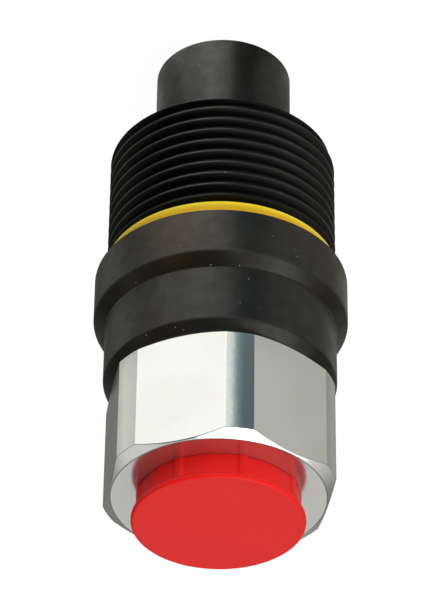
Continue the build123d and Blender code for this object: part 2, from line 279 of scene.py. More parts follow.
def body_skin():
    """Body: coupling thread, ring groove, flange, collar and the bores inside.

    One tooth's outline, with soft corners, gives the rows of one pitch.  Each row follows the helix,
    z = z_row + pitch a / 2 pi, and is held between both ends of the thread, where the radius is read
    from the tooth's outline again.  The lead chamfer is a cone of 45 degrees.  The rest is turned, and
    only half of its first and last soft corner is used, where it joins the thread.
    """
    angles = column_angles(thread_step)
    columns = len(angles)
    depth = (thread_pitch - crest_width - root_width) / 2 / thread_flank
    root_radius = thread_radius - depth
    half_crest, half_root, half_pitch = crest_width / 2, root_width / 2, thread_pitch / 2
    falling_flank = [
        (root_radius + share * depth, half_crest + (1 - share) * depth * thread_flank)
        for share in flank_shares
    ]
    rising_flank = [(radius, thread_pitch - height) for radius, height in reversed(falling_flank)]
    tooth = outline_columns(
        1,
        (thread_radius, -half_crest),
        (thread_radius, half_crest),
        *falling_flank,
        (root_radius, half_pitch - half_root),
        (root_radius, half_pitch + half_root),
        *rising_flank,
        (thread_radius, thread_pitch - half_crest),
        (thread_radius, thread_pitch + half_crest),
    )
    steps = 3
    corners = rounded(tooth, tooth_corner, steps)[0, steps:-steps]
    tooth_radius, tooth_height = corners[:, 0], corners[:, 1]
    spare_turns = 3
    turns = int((thread_end - body_start) / thread_pitch) + spare_turns
    one_pitch = tooth_height[tooth_height < tooth_height[0] + thread_pitch - merge_distance]
    row_height = (one_pitch[None, :] + thread_pitch * np.arange(-1, turns)[:, None]).ravel()
    turned_height = thread_pitch * angles[:, None] / (2 * pi) + body_start + first_crest_height
    height = np.clip(row_height[None, :] - thread_pitch + turned_height, body_start, thread_end)
    phase = (height - turned_height - tooth_height[0]) % thread_pitch + tooth_height[0]
    radius = np.interp(phase, tooth_height, tooth_radius, period=thread_pitch)
    radius = np.minimum(radius, thread_radius - lead_chamfer + height - body_start)
    thread = np.stack([radius, height], axis=2)
    bore = nose_shank_radius + clearance
    joint = joint_radius + clearance
    inner = outline_columns(
        columns,
        (thread_radius - ring_groove_depth, ring_end),
        (flange_radius, ring_end),
        (flange_radius, flange_end),
        (collar_radius, collar_start),
        (collar_radius, bevel_start),
        (collar_radius - collar_bevel, body_end),
        (joint, body_end),
        (joint, seal_bore_end),
        (seal_bore_radius, seal_bore_end),
        (seal_bore_radius, shoulder_height),
        (bore, shoulder_height),
        (bore, body_start),
    )
    groove_corner = outline_columns(columns, (thread_radius - ring_groove_depth, thread_end))
    half_corner = 2
    rest = rounded(inner, body_corner)[:, half_corner:-half_corner]
    profile = np.concatenate([thread, groove_corner, rest], axis=1)
    return even_shading(skin("body_skin", angles, profile))


def turned_skin(name, *points):
    """Turned piece from the points of its outline, with soft corners."""
    angles = column_angles(turned_step)
    profile = rounded(outline_columns(len(angles), *points), turned_corner)
    return even_shading(skin(name, angles, profile))


def ring_skin():
    """Indicator ring with soft edges, crowned a little beyond the thread's crests."""
    inner = thread_radius - ring_groove_depth + clearance
    crown = ring_radius + ring_crown
    return turned_skin(
        "ring_skin",
        (inner, ring_start),
        (crown, ring_start),
        (crown, ring_end),
        (inner, ring_end),
    )


def nose_skin():
    """Nose tube.

    Outside it has the flat nose face, the free nose, the thinner shank and the clamped flange with its
    seal groove.  Inside it has the guide's seat, the circlip groove, the valve chamber with its cone
    and the poppet's bore.
    """
    guide_seat = tube_end - guide_seat_depth
    clip_low = guide_seat + guide_thickness
    clip_high = clip_low + circlip_groove_width
    clip_floor = guide_seat_radius + circlip_groove_depth
    groove_low = shoulder_height + tube_groove_distance
    groove_high = groove_low + static_groove_width
    groove_floor = seal_bore_radius - static_groove_depth
    return turned_skin(
        "nose_skin",
        (face_bore_radius, 0.0),
        (nose_radius, 0.0),
        (nose_radius, body_start - nose_shank_relief),
        (nose_shank_radius, body_start - nose_shank_relief),
        (nose_shank_radius, shoulder_height),
        (nose_radius_outer, shoulder_height),
        (nose_radius_outer, groove_low),
        (groove_floor, groove_low),
        (groove_floor, groove_high),
        (nose_radius_outer, groove_high),
        (nose_radius_outer, tube_end),
        (guide_seat_radius, tube_end),
        (guide_seat_radius, clip_high),
        (clip_floor, clip_high),
        (clip_floor, clip_low),
        (guide_seat_radius, clip_low),
        (guide_seat_radius, guide_seat),
        (chamber_radius, guide_seat),
        (chamber_radius, face_bore_length + chamber_radius - face_bore_radius),
        (face_bore_radius, face_bore_length),
    )


def adapter_skin():
    """Port adapter.

    Round the hexagon the outer radius is the smaller of the bar's and of the flat's, half the width
    over flats divided by the cosine of the angle from the flat's middle.  Both chamfers are cones, so
    their lower edge dips where the radius is small.
    """
    half_flat = degrees(np.arccos(across_flats_half / bar_radius))
    flat_count = 6
    flat_pitch = 360.0 / flat_count
    middles = np.arange(flat_count) * flat_pitch
    edges = np.concatenate([middles - half_flat, middles + half_flat])
    angles = column_angles(hexagon_step, edges, hexagon_edge_spread)
    columns = len(angles)
    from_middle = (np.degrees(angles) + flat_pitch / 2) % flat_pitch - flat_pitch / 2
    side = np.minimum(bar_radius, across_flats_half / np.cos(np.radians(from_middle)))
    chamfer = (side - hex_face_radius) * hex_chamfer
    drill_cone = (port_radius - flow_radius) / tan(radians(drill_point_angle))
    groove_low = tube_end + pilot_groove_distance
    groove_high = groove_low + static_groove_width
    groove_floor = seal_bore_radius - static_groove_depth
    pilot = seal_bore_radius - clearance
    relief = joint_radius - relief_depth
    outline = outline_columns(
        columns,
        (flow_radius, pilot_start),
        (pilot, pilot_start),
        (pilot, groove_low),
        (groove_floor, groove_low),
        (groove_floor, groove_high),
        (pilot, groove_high),
        (pilot, seal_bore_end),
        (relief, seal_bore_end),
        (relief, seal_bore_end + relief_width),
        (joint_radius, seal_bore_end + relief_width),
        (joint_radius, body_end),
        (hex_face_radius, body_end),
        (side, body_end + chamfer),
        (side, port_face - chamfer),
        (hex_face_radius, port_face),
        (port_radius + port_countersink, port_face),
        (port_radius, port_face - port_countersink),
        (port_radius, port_face - port_depth),
        (flow_radius, port_face - port_depth - drill_cone),
    )
    return even_shading(skin("adapter_skin", angles, rounded(outline, adapter_corner)))


def port_thread():
    """Ridge of the pipe thread in the port.

    The section is a rounded tooth, whose height across it is h (1 - |u|^p) for u from -1 to 1.  It runs
    along a helix and fades out at both ends, where h follows a quarter of a sine.
    """
    first, last = port_face - port_depth + ridge_runout, port_face - ridge_start
    turns = (last - first) / port_pitch
    points_a_turn, points_across = 72, 7
    along = np.linspace(0.0, turns, int(turns * points_a_turn))
    across = np.linspace(-1.0, 1.0, points_across)
    from_end = np.minimum(along, turns - along) / ridge_fade_turns
    fade = np.sin(np.clip(from_end, 0.0, 1.0) * pi / 2)
    tooth = ridge_height * port_pitch * (1 - np.abs(across) ** ridge_power)
    radius = port_radius + ridge_sunk - tooth[None, :] * fade[:, None]
    height = first + port_pitch * (along[:, None] + ridge_half_width * across[None, :])
    return coil("port_thread", 2 * pi * along, radius, height)


def plug_skin():
    """Dust plug, with ribs between the shallow panels of its grip.

    The grip's radius is the rib's within half a rib of each rib's middle, and falls to the panel's over
    a short ramp.  The head is a little taller than its solid, because more of it shows in the
    photograph, and its rim has a soft edge.
    """
    half_rib = degrees(rib_width / 2 / grip_radius)
    rib_pitch = 360.0 / rib_count
    middles = rib_angle + np.arange(rib_count) * rib_pitch
    to_ramp = half_rib + panel_ramp / 2
    edges = np.concatenate([middles - to_ramp, middles + to_ramp])
    angles = column_angles(turned_step, edges, panel_ramp / 2)
    columns = len(angles)
    from_rib = (np.degrees(angles) - rib_angle + rib_pitch / 2) % rib_pitch - rib_pitch / 2
    sunk = np.clip((np.abs(from_rib) - half_rib) / panel_ramp, 0.0, 1.0)
    panel = grip_radius - panel_depth * sunk
    top = plug_top + plug_crown
    rim_start = top - rim_height
    lip_end = rim_start - panel_lip
    foot = port_face + plug_foot_gap
    hollow = plug_shank_radius - plug_wall
    hollow_top = plug_top - plug_face_thickness
    outline = outline_columns(
        columns,
        (plug_radius - rim_bevel_width, top),
        (plug_radius, top - rim_bevel_height),
        (plug_radius, rim_start),
        (grip_radius, rim_start),
        (grip_radius, lip_end),
        (panel, lip_end - panel_fall),
        (panel, foot),
        (plug_shank_radius, foot),
        (plug_shank_radius - plug_shank_taper, shank_end),
        (hollow - plug_shank_taper, shank_end),
        (hollow, hollow_top),
    )
    corners = np.full((outline.shape[1], 1), plug_corner)
    corners[outline[0, :, 1] == foot] = plug_foot_corner
    wall = rounded(outline, corners)
    centre_top = outline_columns(columns, (0.0, top))
    centre_low = outline_columns(columns, (0.0, hollow_top))
    profile = np.concatenate([centre_top, wall, centre_low], axis=1)
    return even_shading(skin("plug_skin", angles, profile, closed=False))


def spring_skin(name, node, mean_radius, wire):
    """Round wire on the CAD spring's helix, flattened where it passes its ground ends.

    At the angle b of the wire's section, r = mean radius + wire / 2 cos b and z = helix + wire / 2 sin b,
    held between both ends.
    """
    low, high = (corner.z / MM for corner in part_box(node))
    pitch = (high - low) / spring_turns
    points_a_turn, points_across = 48, 14
    count = int((spring_turns + 2 * spring_end_turns) * points_a_turn)
    along = np.linspace(-spring_end_turns, spring_turns + spring_end_turns, count)
    section = np.linspace(0.0, 2 * pi, points_across, endpoint=False)[None, :]
    radius = mean_radius + wire / 2 * np.cos(section)
    height = low + pitch * along[:, None] + wire / 2 * np.sin(section)
    return coil(name, 2 * pi * (along + spring_end_turns), radius, np.clip(height, low, high))


# Finishes


def on_side(radius, to_right, height):
    """Point in metres on a round surface, at an angle in degrees to the right of the side shown."""
    turn = camera_azimuth - radians(to_right)
    return (radius * cos(turn) * MM, radius * sin(turn) * MM, height * MM)


def new_material(name, color, roughness, metallic=0.0):
    """Material with a Principled shader, whose plain numbers are set on its own sockets."""
    material = bpy.data.materials.new(name)
    material.use_nodes = True
    tree = material.node_tree
    shader = tree.nodes["Principled BSDF"]
    shader.inputs["Base Color"].default_value = (*color, 1.0)
    shader.inputs["Roughness"].default_value = roughness
    shader.inputs["Metallic"].default_value = metallic
    return material, tree, shader


def add(tree, kind, **settings):
    """New node with its settings."""
    node = tree.nodes.new(kind)
    for key, value in settings.items():
        setattr(node, key, value)
    return node


def feed(tree, socket, value):
    """Gives a socket a plain number or the value of another socket."""
    if isinstance(value, (int, float)):
        socket.default_value = value
    else:
        tree.links.new(value, socket)


def compute(tree, operation, first, second=None, third=None, clamp=False):
    """Math node on numbers or sockets."""
    node = add(tree, "ShaderNodeMath", operation=operation, use_clamp=clamp)
    for socket, value in zip(node.inputs, (first, second, third)):
        if value is not None:
            feed(tree, socket, value)
    return node.outputs[0]


def ease(tree, value, start, end, low=0.0, high=1.0):
    """Smooth step from low to high as the value goes from start to end."""
    node = add(tree, "ShaderNodeMapRange", interpolation_type="SMOOTHSTEP")
    numbers = {"Value": value, "From Min": start, "From Max": end, "To Min": low, "To Max": high}
    for label, number in numbers.items():
        feed(tree, node.inputs[label], number)
    return node.outputs["Result"]


def new_group(name, inputs, outputs):
    """Shader node group with named number inputs and outputs."""
    group = bpy.data.node_groups.new(name, "ShaderNodeTree")
    for label, default in inputs:
        socket = group.interface.new_socket(label, in_out="INPUT", socket_type="NodeSocketFloat")
        socket.default_value = default
    for label in outputs:
        group.interface.new_socket(label, in_out="OUTPUT", socket_type="NodeSocketFloat")
    return group, group.nodes.new("NodeGroupInput"), group.nodes.new("NodeGroupOutput")


def place_on_axis(tree):
    """Radius and height of the shaded point, in millimetres, from Object coordinates."""
    coordinates = add(tree, "ShaderNodeTexCoord")
    split = add(tree, "ShaderNodeSeparateXYZ")
    tree.links.new(coordinates.outputs["Object"], split.inputs[0])
    squares = compute(tree, "MULTIPLY", split.outputs[0], split.outputs[0])
    squares = compute(tree, "MULTIPLY_ADD", split.outputs[1], split.outputs[1], squares)
    radius = compute(tree, "DIVIDE", compute(tree, "SQRT", squares), MM)
    height = compute(tree, "DIVIDE", split.outputs[2], MM)
    return radius, height


def edge_wear_and_painted_light_group():
    """Mask that is 1 on the circle of a given radius and height and fades over a given width.  It marks
    worn edges, and painted shade and painted highlights along edges.
    """
    group, inputs, outputs = new_group(
        "edge_wear_and_painted_light", [("Radius", 25.0), ("Height", 0.0), ("Width", 0.3)], ["Mask"]
    )
    radius, height = place_on_axis(group)
    across = compute(group, "SUBTRACT", radius, inputs.outputs["Radius"])
    along = compute(group, "SUBTRACT", height, inputs.outputs["Height"])
    squares = compute(group, "MULTIPLY", across, across)
    squares = compute(group, "MULTIPLY_ADD", along, along, squares)
    distance = compute(group, "DIVIDE", compute(group, "SQRT", squares), inputs.outputs["Width"])
    mask = compute(group, "SUBTRACT", 1.0, distance, clamp=True)
    group.links.new(mask, outputs.inputs["Mask"])
    return group


def groove_shade_group():
    """Mask of painted shade in a thread's grooves.

    It is 1 from a little below the crest's radius on, nearly 1 also over the last turn below the
    thread's last height, where the flange shades it, and 0 beyond that height.
    """
    group, inputs, outputs = new_group(
        "groove_shade", [("Radius", 25.0), ("Height", 0.0), ("Last turn", 3.0)], ["Mask"]
    )
    # Painted shade: darker below the crest and over the last turn next to the flange.
    rise_per_mm, below_crest_start, last_turn_share = 5.0, -0.2, 0.8
    radius, height = place_on_axis(group)
    below_crest = compute(group, "SUBTRACT", inputs.outputs["Radius"], radius)
    groove_shade_mask = compute(group, "MULTIPLY_ADD", below_crest, rise_per_mm, below_crest_start, clamp=True)
    from_end = compute(group, "SUBTRACT", inputs.outputs["Height"], height)
    over_last = compute(group, "SUBTRACT", inputs.outputs["Last turn"], from_end, clamp=True)
    over_last = compute(group, "MULTIPLY", over_last, last_turn_share)
    groove_shade_mask = compute(group, "MAXIMUM", groove_shade_mask, over_last)
    on_thread = compute(group, "GREATER_THAN", from_end, 0.0)
    group.links.new(compute(group, "MULTIPLY", groove_shade_mask, on_thread), outputs.inputs["Mask"])
    return group


def spot_group(place):
    """Mask that is 1 at a place and falls smoothly to 0 at a given radius, both in metres."""
    group, inputs, outputs = new_group("spot", [("Radius", 0.006)], ["Mask"])
    coordinates = add(group, "ShaderNodeTexCoord")
    away = add(group, "ShaderNodeVectorMath", operation="DISTANCE")
    group.links.new(coordinates.outputs["Object"], away.inputs[0])
    away.inputs[1].default_value = place
    reach = inputs.outputs["Radius"]
    mask = ease(group, away.outputs["Value"], start=0.0, end=reach, low=1.0, high=0.0)
    group.links.new(mask, outputs.inputs["Mask"])
    return group


def lathe_grain_group():
    """Fine rings that a lathe leaves: noise over radius and height, the same all the way round."""
    group, inputs, outputs = new_group("lathe_grain", [("Rings per mm", 6.0)], ["Value"])
    radius, height = place_on_axis(group)
    join = add(group, "ShaderNodeCombineXYZ")
    group.links.new(compute(group, "MULTIPLY", radius, inputs.outputs["Rings per mm"]), join.inputs[0])
    group.links.new(compute(group, "MULTIPLY", height, inputs.outputs["Rings per mm"]), join.inputs[2])
    noise = add(group, "ShaderNodeTexNoise")
    noise.inputs["Scale"].default_value = 1.0
    noise.inputs["Detail"].default_value = 2.0
    group.links.new(join.outputs[0], noise.inputs["Vector"])
    group.links.new(noise.outputs["Fac"], outputs.inputs["Value"])
    return group


def mottle_group():
    """Cloudy pattern of a coating: noise spread to run from 0 to 1 about a half."""
    group, inputs, outputs = new_group("mottle", [("Scale", 90.0)], ["Value"])
    coordinates = add(group, "ShaderNodeTexCoord")
    noise = add(group, "ShaderNodeTexNoise")
    noise.inputs["Detail"].default_value = 4.0
    noise.inputs["Roughness"].default_value = 0.5
    group.links.new(inputs.outputs["Scale"], noise.inputs["Scale"])
    group.links.new(coordinates.outputs["Object"], noise.inputs["Vector"])
    spread = ease(group, noise.outputs["Fac"], start=0.2, end=0.8)
    group.links.new(spread, outputs.inputs["Value"])
    return group


def specks_group():
    """Mask of small specks of dust, in the middle of a share of a cell pattern's cells."""
    group, inputs, outputs = new_group("specks", [("Scale", 330.0), ("Share", 0.03)], ["Mask"])
    coordinates = add(group, "ShaderNodeTexCoord")
    cells = add(group, "ShaderNodeTexVoronoi")
    group.links.new(inputs.outputs["Scale"], cells.inputs["Scale"])
    group.links.new(coordinates.outputs["Object"], cells.inputs["Vector"])
    speck_radius = 0.06
    near = compute(group, "LESS_THAN", cells.outputs["Distance"], speck_radius)
    split = add(group, "ShaderNodeSeparateColor")
    group.links.new(cells.outputs["Color"], split.inputs[0])
    chosen = compute(group, "LESS_THAN", split.outputs[0], inputs.outputs["Share"])
    group.links.new(compute(group, "MULTIPLY", near, chosen), outputs.inputs["Mask"])
    return group


edge_wear_and_painted_light = edge_wear_and_painted_light_group()
groove_shade = groove_shade_group()
lathe_grain = lathe_grain_group()
mottle = mottle_group()
specks = specks_group()


def use_group(tree, group, output, **numbers):
    """Places a node group, sets its number inputs and gives one of its outputs."""
    node = add(tree, "ShaderNodeGroup", node_tree=group)
    for label, value in numbers.items():
        node.inputs[label.replace("_", " ")].default_value = value
    return node.outputs[output]


def mix_color(tree, factor, first, second):
    """Mix of two colours, each a tuple or a socket, by a number socket."""
    node = add(tree, "ShaderNodeMix", data_type="RGBA")
    tree.links.new(factor, node.inputs["Factor"])
    for socket, value in ((node.inputs[6], first), (node.inputs[7], second)):
        if isinstance(value, tuple):
            socket.default_value = (*value, 1.0)
        else:
            tree.links.new(value, socket)
    return node.outputs[2]


def mix_number(tree, factor, first, second):
    """Mix of a number socket with a plain number, by a number socket."""
    node = add(tree, "ShaderNodeMix", data_type="FLOAT")
    tree.links.new(factor, node.inputs["Factor"])
    tree.links.new(first, node.inputs["A"])
    node.inputs["B"].default_value = second
    return node.outputs["Result"]


def spread_value(tree, value, low, high):
    """Value from 0 to 1 moved to the range from low to high."""
    node = add(tree, "ShaderNodeMapRange")
    node.inputs["To Min"].default_value = low
    node.inputs["To Max"].default_value = high
    tree.links.new(value, node.inputs["Value"])
    return node.outputs["Result"]


def add_bump(tree, shader, value, strength, distance):
    """Bump from a value socket."""
    bump = add(tree, "ShaderNodeBump")
    bump.inputs["Strength"].default_value = strength
    bump.inputs["Distance"].default_value = distance
    tree.links.new(value, bump.inputs["Height"])
    tree.links.new(bump.outputs["Normal"], shader.inputs["Normal"])


def black_steel(name, gloss, tint, worn_edges, grooves=None, stained=None):
    """Black phosphated steel: satin, cloudy and a little dusty, duller and greyer on its worn edges.

    gloss and tint are its specular level and tint, and over it lies a coat whose strength varies
    finely.  Where grooves holds the crest's radius and the thread's last height, painted shade lies in
    the grooves below the crest and on the last turn: they are dull, dark and metallic and have no coat.
    Where stained holds a place and a radius in metres, a brown stain lies round that place.
    """
    black, soft_black = (0.004, 0.004, 0.0041), (0.011, 0.0107, 0.0095)
    brown_haze, brown_stain = (0.02, 0.0165, 0.008), (0.032, 0.021, 0.0006)
    worn_grey, dust_grey, groove_shade_grey = (0.03, 0.03, 0.028), (0.16, 0.155, 0.145), (0.024, 0.024, 0.023)
    material, tree, shader = new_material(name, soft_black, 0.36)
    shader.inputs["Specular IOR Level"].default_value = gloss
    shader.inputs["Specular Tint"].default_value = (*tint, 1.0)
    shader.inputs["Coat Roughness"].default_value = 0.3
    cloud = use_group(tree, mottle, "Value", Scale=110.0)
    color = mix_color(tree, cloud, black, soft_black)
    haze = use_group(tree, mottle, "Value", Scale=32.0)
    color = mix_color(tree, compute(tree, "POWER", haze, 2.0), color, brown_haze)
    if stained is not None:
        place, reach = stained
        spot = use_group(tree, spot_group(place), "Mask", Radius=reach)
        spot = compute(tree, "MULTIPLY", spot, spread_value(tree, cloud, low=0.7, high=1.0))
        color = mix_color(tree, spot, color, brown_stain)
    roughness = spread_value(tree, cloud, low=0.24, high=0.36)
    wear = None
    for radius, height, width in worn_edges:
        mask = use_group(tree, edge_wear_and_painted_light, "Mask", Radius=radius, Height=height, Width=width)
        wear = mask if wear is None else compute(tree, "MAXIMUM", wear, mask)
    worn = compute(tree, "MULTIPLY", wear, spread_value(tree, cloud, low=0.2, high=0.9))
    color = mix_color(tree, worn, color, worn_grey)
    worn_roughness = 0.6
    roughness = mix_number(tree, worn, roughness, worn_roughness)
    fine = use_group(tree, mottle, "Value", Scale=360.0)
    coat = spread_value(tree, fine, low=0.0, high=0.34)
    dust = use_group(tree, specks, "Mask", Scale=400.0, Share=0.5)
    color = mix_color(tree, dust, color, dust_grey)
    # Painted shade in the thread's grooves and on its last turn: dull dark grey, metallic, without coat.
    if grooves is not None:
        crest, last = grooves
        numbers = {"Radius": crest, "Height": last, "Last_turn": thread_pitch + last_turn_margin}
        groove_shade_mask = use_group(tree, groove_shade, "Mask", **numbers)
        color = mix_color(tree, groove_shade_mask, color, groove_shade_grey)
        groove_roughness = 0.5
        roughness = mix_number(tree, groove_shade_mask, roughness, groove_roughness)
        coat = mix_number(tree, groove_shade_mask, coat, 0.0)
        tree.links.new(groove_shade_mask, shader.inputs["Metallic"])
    tree.links.new(color, shader.inputs["Base Color"])
    tree.links.new(roughness, shader.inputs["Roughness"])
    tree.links.new(coat, shader.inputs["Coat Weight"])
    grain = use_group(tree, lathe_grain, "Value", Rings_per_mm=5.0)
    add_bump(tree, shader, grain, strength=0.12, distance=0.00003)
    return material


def zinc_steel():
    """Bright zinc plate on turned and milled steel, faintly cloudy and yellowed.

    The round lands between the flats are smoother, tinted in small patches and blotchy.  The end face
    is greyer, and a dark line of painted shade runs round its edge.
    """
    zinc, bright_zinc, yellowed = (0.77, 0.77, 0.73), (0.87, 0.87, 0.85), (0.70, 0.71, 0.55)
    cold_land, warm_land = (0.77, 0.80, 0.82), (0.85, 0.85, 0.77)
    face_grey, edge_shade_grey = (0.64, 0.64, 0.62), (0.12, 0.12, 0.11)
    land_depth, face_depth = 0.1, 0.04
    material, tree, shader = new_material("zinc_steel", zinc, 0.2, 0.95)
    cloud = use_group(tree, mottle, "Value", Scale=60.0)
    color = mix_color(tree, cloud, zinc, bright_zinc)
    stain = use_group(tree, mottle, "Value", Scale=28.0)
    color = mix_color(tree, spread_value(tree, stain, low=0.0, high=0.22), color, yellowed)
    radius, height = place_on_axis(tree)
    on_land = compute(tree, "GREATER_THAN", radius, bar_radius - land_depth)
    patches = use_group(tree, mottle, "Value", Scale=190.0)
    color = mix_color(tree, on_land, color, mix_color(tree, patches, cold_land, warm_land))
    end_face = compute(tree, "GREATER_THAN", height, port_face - face_depth)
    color = mix_color(tree, spread_value(tree, end_face, low=0.0, high=0.8), color, face_grey)
    # Painted shade: a dark line round the end face's edge.
    edge = use_group(tree, edge_wear_and_painted_light, "Mask", Radius=hex_face_radius, Height=port_face, Width=0.22)
    color = mix_color(tree, edge, color, edge_shade_grey)
    tree.links.new(color, shader.inputs["Base Color"])
    face_roughness, land_roughness = 0.16, 0.12
    roughness = spread_value(tree, cloud, low=0.13, high=0.23)
    roughness = mix_number(tree, end_face, roughness, face_roughness)
    roughness = mix_number(tree, on_land, roughness, land_roughness)
    tree.links.new(roughness, shader.inputs["Roughness"])
    grain = use_group(tree, lathe_grain, "Value", Rings_per_mm=4.0)
    blotches = compute(tree, "MULTIPLY", use_group(tree, mottle, "Value", Scale=420.0), on_land)
    blotch_height = 6.0
    uneven = compute(tree, "MULTIPLY_ADD", blotches, blotch_height, grain)
    add_bump(tree, shader, uneven, strength=0.1, distance=0.00002)
    return material


def bare_steel(name, color, roughness):
    """Turned metal of the inner pieces, with a faintly cloudy gloss."""
    material, tree, shader = new_material(name, color, roughness, 1.0)
    cloud = use_group(tree, mottle, "Value", Scale=140.0)
    cloudy = spread_value(tree, cloud, low=roughness - 0.06, high=roughness + 0.08)
    tree.links.new(cloudy, shader.inputs["Roughness"])
    grain = use_group(tree, lathe_grain, "Value", Rings_per_mm=6.0)
    add_bump(tree, shader, grain, strength=0.12, distance=0.00002)
    return material


def moulded(name, color, darker, roughness, gloss=0.5, rim=None):
    """Moulded plastic or rubber, faintly uneven between its two colours; gloss is its specular level.

    Where rim holds a radius, a height, a width and a colour, a painted highlight of that colour lies on
    the edge there.
    """
    material, tree, shader = new_material(name, color, roughness)
    shader.inputs["Specular IOR Level"].default_value = gloss
    cloud = use_group(tree, mottle, "Value", Scale=45.0)
    blend = mix_color(tree, cloud, darker, color)
    if rim is not None:
        # Painted highlight: the edge at rim takes rim's lighter colour.
        radius, height, width, rim_highlight_color = rim
        edge = use_group(tree, edge_wear_and_painted_light, "Mask", Radius=radius, Height=height, Width=width)
        blend = mix_color(tree, edge, blend, rim_highlight_color)
    tree.links.new(blend, shader.inputs["Base Color"])
    cloudy = spread_value(tree, cloud, low=roughness - 0.03, high=roughness + 0.05)
    tree.links.new(cloudy, shader.inputs["Roughness"])
    add_bump(tree, shader, cloud, strength=0.04, distance=0.0002)
    return material


stain_place = on_side(flange_radius, to_right=-20.0, height=0.55 * ring_end + 0.45 * flange_end)
black_body = black_steel(
    "black_body",
    gloss=0.34,
    tint=(1.0, 0.99, 0.95),
    worn_edges=(
        (flange_radius, ring_end, 0.5),
        (flange_radius, flange_end, 0.5),
        (collar_radius, bevel_start, 0.4),
        (collar_radius - collar_bevel, body_end, 0.4),
        (thread_radius - lead_chamfer, body_start, 0.6),
    ),
    # painted shade in the thread's grooves and on its last turn
    grooves=(thread_radius, thread_end + 0.1),
    stained=(stain_place, 0.013),
)
black_nose = black_steel(
    "black_nose", gloss=0.4, tint=(0.97, 1.0, 1.0), worn_edges=((nose_radius, 0.0, 0.6),)
)
zinc = zinc_steel()
red = moulded(
    "red_plastic", (0.80, 0.011, 0.008), darker=(0.75, 0.008, 0.006), roughness=0.36, gloss=0.21
)
yellow = moulded(
    "yellow_plastic",
    (0.72, 0.43, 0.004),
    darker=(0.66, 0.39, 0.003),
    roughness=0.42,
    gloss=0.25,
    # painted highlight: the ring is lighter yellow towards its start
    rim=(ring_radius, ring_start, 1.5, (0.95, 0.80, 0.03)),
)
white = moulded("white_plastic", (0.82, 0.81, 0.78), darker=(0.76, 0.75, 0.72), roughness=0.5)
rubber = moulded("seal_rubber", (0.022, 0.022, 0.022), darker=(0.016, 0.016, 0.016), roughness=0.55)
valve_steel = bare_steel("valve_steel", (0.56, 0.56, 0.56), roughness=0.28)
spring_steel = bare_steel("spring_steel", (0.38, 0.38, 0.39), roughness=0.32)
bronze = bare_steel("bearing_bronze", (0.62, 0.42, 0.22), roughness=0.4)

node_materials = {
    "threaded_body": black_body,
    "indicator_ring": yellow,
    "nose_tube": black_nose,
    "nose_o_ring": rubber,
    "nose_backup_ring": white,
    "port_adapter": zinc,
    "adapter_o_ring": rubber,
    "adapter_backup_ring": white,
    "poppet_face": valve_steel,
    "poppet_stem": valve_steel,
    "poppet_seal": rubber,
    "poppet_spring": spring_steel,
    "bleed_pin": valve_steel,
    "bleed_seal": rubber,
    "bleed_spring": spring_steel,
    "bleed_plug": valve_steel,
    "valve_guide": valve_steel,
    "guide_bush": bronze,
    "guide_circlip": spring_steel,
    "dust_plug": red,
}
for name, material in node_materials.items():
    slots = nodes[name].data.materials
    slots.clear()
    slots.append(material)


def dress(piece, node, body):
    """The piece stands for a CAD node, with that node's material and body."""
    piece.data.materials.append(node_materials[node])
    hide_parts(node)
    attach(piece, body)


dress(body_skin(), "threaded_body", "coupler_body")
dress(ring_skin(), "indicator_ring", "coupler_body")
dress(nose_skin(), "nose_tube", "coupler_body")
dress(adapter_skin(), "port_adapter", "coupler_body")
dress(plug_skin(), "dust_plug", "plug")

main_spring = spring_skin(
    "main_spring", "poppet_spring", main_spring_mean_radius, main_spring_wire
)
dress(main_spring, "poppet_spring", "coupler_body")
light_spring = spring_skin(
    "light_spring", "bleed_spring", bleed_spring_mean_radius, bleed_spring_wire
)
dress(light_spring, "bleed_spring", "poppet")


def follow_joint(spring):
    """Gives the spring a mesh of its own."""
    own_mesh(spring)


follow_joint(main_spring)
follow_joint(light_spring)

ridge = port_thread()
ridge.data.materials.append(zinc)
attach(ridge, "coupler_body")


# Floor, light and camera


def around_object(tree):
    """Angle of the shaded point to the right of the photographed side, from 0 to 1 for a full turn.

    It is a half on the photographed side itself.
    """
    coordinates = add(tree, "ShaderNodeTexCoord")
    turned_axis = add(tree, "ShaderNodeVectorRotate", rotation_type="Z_AXIS")
    turned_axis.inputs["Angle"].default_value = -camera_azimuth
    tree.links.new(coordinates.outputs["Object"], turned_axis.inputs["Vector"])
    split = add(tree, "ShaderNodeSeparateXYZ")
    tree.links.new(turned_axis.outputs[0], split.inputs[0])
    to_right = compute(tree, "MULTIPLY", split.outputs[1], -1.0)
    angle = compute(tree, "ARCTAN2", to_right, split.outputs[0])
    return compute(tree, "MULTIPLY_ADD", angle, 1 / (2 * pi), 0.5)


def round_ramp(tree, place, stops):
    """Colour ramp round the object, from stops of angle, brightness and tint."""
    ramp = add(tree, "ShaderNodeValToRGB")
    elements = ramp.color_ramp.elements
    for number, (angle, level, tint) in enumerate(stops):
        at = angle / 360.0 + 0.5
        element = elements[number] if number < 2 else elements.new(at)
        element.position = at
        element.color = (*(level * share for share in tint), 1.0)
    tree.links.new(place, ramp.inputs[0])
    return ramp.outputs[0]


def grey_ramp(tree, place, stops):
    """Ramp round the object without a tint, from stops of angle and brightness."""
    return round_ramp(tree, place, [(angle, level, (1.0, 1.0, 1.0)) for angle, level in stops])


def shade(tree, color, factor, tint):
    """Colour multiplied by a tint to the degree of a factor."""
    shaded = add(tree, "ShaderNodeMix", data_type="RGBA", blend_type="MULTIPLY")
    tree.links.new(factor, shaded.inputs["Factor"])
    tree.links.new(color, shaded.inputs[6])
    tree.links.new(tint, shaded.inputs[7])
    return shaded.outputs[2]


def shade_zone(tree, color, radius, start, end, tint):
    """Colour multiplied by a tint, ever more as the radius goes from start to end in millimetres."""
    return shade(tree, color, ease(tree, radius, start, end), tint)


